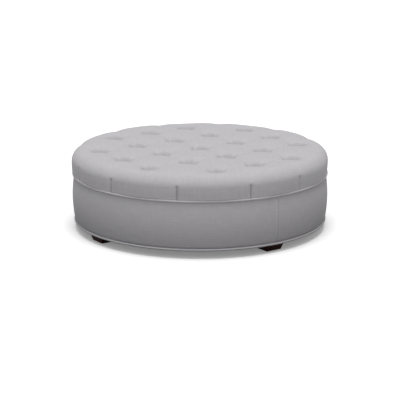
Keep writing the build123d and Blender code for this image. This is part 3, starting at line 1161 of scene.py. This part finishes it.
@dataclass
class DustCover:
    """The black cloth under the frame and the staples at its edge."""

    radius: float = 574.3 * MM
    bottom: float = 43.4 * MM
    thickness: float = 0.8 * MM
    rings: int = 12
    sag: float = 4.0 * MM
    sag_end: tuple[float, float] = (50 * MM, 460 * MM)
    ripple: float = 0.5 * MM
    ripple_count: int = 14
    ripple_start: tuple[float, float] = (100 * MM, 300 * MM)
    ripple_end: tuple[float, float] = (360 * MM, 480 * MM)
    staple_gap: float = 30.0 * MM
    staple_inset: float = 7.0 * MM
    staple_size: tuple[float, float, float] = (1.2 * MM, 10 * MM, 0.6 * MM)
    staple_foot_gap: float = 8.0  # degrees on each side of a foot that have no staples

    def build_cloth(self) -> Piece:
        """The cloth, with a slight sag in the middle and faint ripples round it.

        Returns:
            The piece.
        """
        cloth = fresh(
            "dust_cover_cloth",
            bpy.ops.mesh.primitive_circle_add,
            vertices=192,
            radius=self.radius,
            fill_type="NGON",
            location=(0, 0, self.bottom),
        )
        bpy.ops.object.mode_set(mode="EDIT")
        bpy.ops.mesh.select_all(action="SELECT")
        for _ in range(self.rings):
            bpy.ops.mesh.inset(thickness=self.radius / (self.rings + 1))
        bpy.ops.object.mode_set(mode="OBJECT")
        points = points_of(cloth.data)
        reach = np.hypot(points[:, 0], points[:, 1])
        angle = np.arctan2(points[:, 1], points[:, 0])
        ripple = self.ripple * np.sin(self.ripple_count * angle)
        ripple = ripple * step(reach, *self.ripple_start) * (1 - step(reach, *self.ripple_end))
        points[:, 2] -= self.sag * (1 - step(reach, *self.sag_end)) + ripple
        move_points(cloth, points)
        finish_with(cloth, "SOLIDIFY", thickness=self.thickness, offset=1)
        under = [face for face in cloth.data.polygons if face.center.z < self.bottom + 0.1 * MM]
        if sum(face.normal.z for face in under) > 0:
            cloth.data.flip_normals()
        smooth(cloth, 50)
        stand_for(cloth, "black_cloth", Finishes.DUST_CLOTH.value, "dust_cover")
        return cloth

    def build_staples(self) -> Piece:
        """The staples, with none where the feet are.

        Returns:
            The piece.
        """
        reach = self.radius - self.staple_inset
        place = (reach, 0, self.bottom - self.staple_size[2] / 2)
        staple = fresh("staple", bpy.ops.mesh.primitive_cube_add, size=1, location=place, scale=self.staple_size)
        finish_with(staple, "BEVEL", width=0.2 * MM, segments=1)
        count = round(tau * reach / self.staple_gap)
        turns = []
        for turn in (360 * k / count for k in range(count)):
            if min(abs((turn - foot + 180) % 360 - 180) for foot in FOOT_ANGLES.values()) >= self.staple_foot_gap:
                turns.append(Matrix.Rotation(radians(turn), 4, "Z"))
        staples = repeated("dust_cover_staples", staple, turns)
        smooth(staples, 30)
        stand_for(staples, "zinc_steel", Finishes.STEEL.value)
        return staples


@dataclass
class Feet:
    """Four tapered block feet with their nylon glides."""

    reach: float = 536.3 * MM
    bottom: float = 3.0 * MM
    top: float = 43.4 * MM
    bottom_width: float = 80.0 * MM
    top_width: float = 105.0 * MM
    edge: float = 2.0 * MM
    glide_radius: float = 15.0 * MM
    glide_edge: float = 1.2 * MM
    nail_radius: float = 1.5 * MM
    nail_foot: float = 1.5 * MM
    nail_length: float = 8.0 * MM

    def build_block(self) -> Piece:
        """A block whose top face is widened and whose edges are eased.

        Returns:
            The model of a foot, at the axis.
        """
        block = fresh(
            "block",
            bpy.ops.mesh.primitive_cube_add,
            size=1,
            location=(0, 0, (self.bottom + self.top) / 2),
            scale=(self.bottom_width, self.bottom_width, self.top - self.bottom),
        )
        bpy.ops.object.mode_set(mode="EDIT")
        bpy.ops.mesh.select_all(action="DESELECT")
        bpy.ops.object.mode_set(mode="OBJECT")
        for face in block.data.polygons:
            face.select = face.normal.z > 0.9
        bpy.ops.object.mode_set(mode="EDIT")
        bpy.ops.mesh.select_mode(type="FACE")
        flare = self.top_width / self.bottom_width
        bpy.ops.transform.resize(value=(flare, flare, 1), center_override=(0, 0, self.top))
        bpy.ops.object.mode_set(mode="OBJECT")
        finish_with(block, "BEVEL", width=self.edge, segments=3, limit_method="ANGLE")
        smooth(block, 30)
        return block

    def build_feet(self) -> list[Piece]:
        """The four feet, copied from one block.

        Returns:
            The pieces.
        """
        block = self.build_block()
        feet = []
        for name, angle in FOOT_ANGLES.items():
            foot = copied(f"foot_{name}_block", block, outward(angle, self.reach))
            stand_for(foot, "espresso_wood", Finishes.FOOT.value, f"foot_{name}")
            feet.append(foot)
        bpy.data.objects.remove(block)
        return feet

    def build_glides(self) -> Piece:
        """Domed nylon discs, each with its nail.

        Returns:
            The piece.
        """
        pad = fresh(
            "pad",
            bpy.ops.mesh.primitive_cylinder_add,
            vertices=48,
            radius=self.glide_radius,
            depth=self.bottom,
            location=(0, 0, self.bottom / 2),
        )
        finish_with(pad, "BEVEL", width=self.glide_edge, segments=3, limit_method="ANGLE")
        nail = fresh(
            "nail",
            bpy.ops.mesh.primitive_cylinder_add,
            vertices=16,
            radius=self.nail_radius,
            depth=self.nail_length,
            location=(0, 0, self.nail_foot + self.nail_length / 2),
        )
        places = [outward(angle, self.reach) for angle in FOOT_ANGLES.values()]
        glides = repeated("foot_glide_discs", joined("glide", [pad, nail]), places)
        smooth(glides, 30)
        stand_for(glides, "nylon", Finishes.NYLON.value, "foot_glides")
        return glides


# The studio


@dataclass(frozen=True)
class Studio:
    """A white floor, soft light from above and the camera's side, and the photograph's camera. Angles in degrees."""

    distance: float = 6.759
    height: float = 1.861
    azimuth: float = 9.75
    pitch: float = 14.48
    lens: float = 130.96
    zenith: float = 0.84
    horizon: float = 0.08
    front: float = 1.1
    ground: float = 0.1
    overhead: float = 0.55
    narrow: float = 2.2
    key: float = 1.7
    key_height: float = 87.0
    key_spread: float = 35.0
    floor_size: float = 60.0
    glow: float = 0.2
    # painted shade: the floor's colour for the light it sends back, close to the object
    painted_floor_shade: float = 0.03
    bounce: float = 0.5
    bounce_start: float = 0.75
    bounce_full: float = 1.1

    def build(self) -> None:
        """Sets up floor, light, camera and colours."""
        self.build_floor()
        self.build_world()
        self.build_lamp()
        self.build_camera()
        bpy.context.scene.view_settings.view_transform = "Standard"

    def backdrop_rays(self, tree: Tree) -> bpy.types.NodeSocket:
        """Tells the rays that show the backdrop: the camera's, and those seen in gloss or through glass.

        Args:
            tree: the node tree.

        Returns:
            A socket that is 1 for them and 0 for the rays that light the object.
        """
        rays = add_node(tree, "ShaderNodeLightPath").outputs
        seen = rays["Is Camera Ray"]
        for kind in ("Is Glossy Ray", "Is Transmission Ray"):
            seen = add_node(tree, "ShaderNodeMath", {"operation": "MAXIMUM"}, i0=seen, i1=rays[kind]).outputs[0]
        return seen

    def build_floor(self) -> None:
        """A wide white floor. The camera sees it white, and it sends little light back up, with painted shade in that
        light close to the object.
        """
        floor = fresh("floor", bpy.ops.mesh.primitive_plane_add, size=self.floor_size, location=(0, 0, 0))
        made = bpy.data.materials.new("white_floor")
        made.use_nodes = True
        tree = made.node_tree
        tree.nodes.clear()
        place = add_node(tree, "ShaderNodeNewGeometry").outputs["Position"]
        reach = add_node(tree, "ShaderNodeVectorMath", {"operation": "LENGTH"}, i0=place).outputs["Value"]
        limits = {"From_Min": self.bounce_start, "From_Max": self.bounce_full}
        # Painted shade: the colour that lights the object is nearly black close to it and pales further out.
        fade = add_node(tree, "ShaderNodeMapRange", Value=reach, To_Min=self.painted_floor_shade, To_Max=self.bounce, **limits)
        grey = add_node(tree, "ShaderNodeCombineColor", i0=fade.outputs[0], i1=fade.outputs[0], i2=fade.outputs[0])
        dim = add_node(tree, "ShaderNodeBsdfDiffuse", Color=grey.outputs[0])
        pale = add_node(tree, "ShaderNodeBsdfDiffuse", Color=(1, 1, 1, 1))
        glow = add_node(tree, "ShaderNodeEmission", Color=(1, 1, 1, 1), Strength=self.glow)
        bright = add_node(tree, "ShaderNodeAddShader", i0=pale.outputs[0], i1=glow.outputs[0])
        faces = {"i0": self.backdrop_rays(tree), "i1": dim.outputs[0], "i2": bright.outputs[0]}
        mixed = add_node(tree, "ShaderNodeMixShader", **faces)
        add_node(tree, "ShaderNodeOutputMaterial", Surface=mixed.outputs[0])
        floor.data.materials.append(made)

    def build_world(self) -> None:
        """A dome that is brightest behind the camera, bright overhead and dark below, and white to the camera."""
        world = bpy.data.worlds.new("studio")
        bpy.context.scene.world = world
        world.use_nodes = True
        tree = world.node_tree
        tree.nodes.clear()
        turn = radians(self.azimuth)
        way = add_node(tree, "ShaderNodeTexCoord").outputs["Generated"]
        rise = add_node(tree, "ShaderNodeSeparateXYZ", Vector=way).outputs["Z"]
        facing = (sin(turn), -cos(turn), 0)
        toward = add_node(tree, "ShaderNodeVectorMath", {"operation": "DOT_PRODUCT"}, i0=way, i1=facing)
        ahead = add_node(tree, "ShaderNodeMath", {"operation": "MAXIMUM"}, i0=toward.outputs["Value"], i1=0.0)
        ahead = add_node(tree, "ShaderNodeMath", {"operation": "POWER"}, i0=ahead.outputs[0], i1=self.narrow)
        up = add_node(tree, "ShaderNodeMath", {"operation": "MAXIMUM"}, i0=rise, i1=0.0)
        up = add_node(tree, "ShaderNodeMath", {"operation": "MULTIPLY"}, i0=up.outputs[0], i1=self.overhead)
        parts = {"i0": ahead.outputs[0], "i1": self.front, "i2": up.outputs[0]}
        share = add_node(tree, "ShaderNodeMath", {"operation": "MULTIPLY_ADD"}, **parts)
        dome = add_node(tree, "ShaderNodeMapRange", Value=share.outputs[0], To_Min=self.horizon, To_Max=self.zenith)
        below = add_node(tree, "ShaderNodeMath", {"operation": "LESS_THAN"}, i0=rise, i1=0.0)
        levels = {"i0": below.outputs[0], "i2": dome.outputs[0], "i3": self.ground}
        level = add_node(tree, "ShaderNodeMix", {"data_type": "FLOAT"}, **levels)
        light = add_node(tree, "ShaderNodeBackground", Color=(1, 1, 1, 1), Strength=level.outputs[0])
        white = add_node(tree, "ShaderNodeBackground", Color=(1, 1, 1, 1), Strength=1.0)
        faces = {"i0": self.backdrop_rays(tree), "i1": light.outputs[0], "i2": white.outputs[0]}
        mixed = add_node(tree, "ShaderNodeMixShader", **faces)
        add_node(tree, "ShaderNodeOutputWorld", Surface=mixed.outputs[0])

    def build_lamp(self) -> None:
        """A broad soft key light, high up on the camera's side."""
        turn = (radians(90 - self.key_height), 0, radians(self.azimuth))
        bpy.ops.object.light_add(type="SUN", location=(0, -1, 4), rotation=turn)
        lamp = bpy.context.active_object
        lamp.name = "high_softbox"
        lamp.data.energy = self.key
        lamp.data.angle = radians(self.key_spread)

    def build_camera(self) -> None:
        """The photograph's camera: long lens, a little to the right and above."""
        turn = radians(self.azimuth)
        bpy.ops.object.camera_add(location=(self.distance * sin(turn), -self.distance * cos(turn), self.height))
        camera = bpy.context.active_object
        camera.name = "photo_camera"
        camera.rotation_euler = (radians(90 - self.pitch), 0, turn)
        camera.data.lens = self.lens
        camera.data.sensor_width = 36
        camera.data.clip_end = 100
        camera.data.dof.use_dof = False
        bpy.context.scene.camera = camera


def dress_frame(nodes: dict[str, Piece]) -> None:
    """Gives each CAD node that stays the material of what it is made of.

    Args:
        nodes: the CAD nodes by name.
    """
    finishes = {
        "plywood": Finishes.PLYWOOD,
        "hardwood": Finishes.BEECH,
        "espresso_wood": Finishes.FOOT,
        "zinc_steel": Finishes.STEEL,
        "nylon": Finishes.NYLON,
        "fibre_wadding": Finishes.WADDING,
        "foam": Finishes.FOAM,
        "black_cloth": Finishes.DUST_CLOTH,
        "twine": Finishes.TWINE,
        "grey_linen": Finishes.CLOTH,
    }
    slots = {part["node"]: part["material_slot"] for part in frame["record"]["subparts"]}
    for name, node in nodes.items():
        node.data.materials.clear()
        node.data.materials.append(finishes[slots[name]].value.material())


def main() -> None:
    """Builds every piece in order."""
    dress_frame(frame["nodes"])
    Studio().build()
    cushion = Cushion(Tufting(), Pleat())
    cushion.build_cover()
    cushion.build_twines()
    base_cover = BaseCover()
    base_cover.build(base_cover.seam_angle, "base_cover_rear_right")
    base_cover.build(base_cover.seam_angle + 180, "base_cover_front_left", "base_padding")
    Welt("lower_welt", reach=596.6 * MM, height=45.0 * MM, sag=5.0 * MM).build()
    Welt("upper_welt", reach=602.6 * MM, height=264.0 * MM, sag=2.0 * MM).build()
    dust_cover = DustCover()
    dust_cover.build_cloth()
    dust_cover.build_staples()
    feet = Feet()
    feet.build_feet()
    feet.build_glides()


if __name__ == "__main__":
    main()
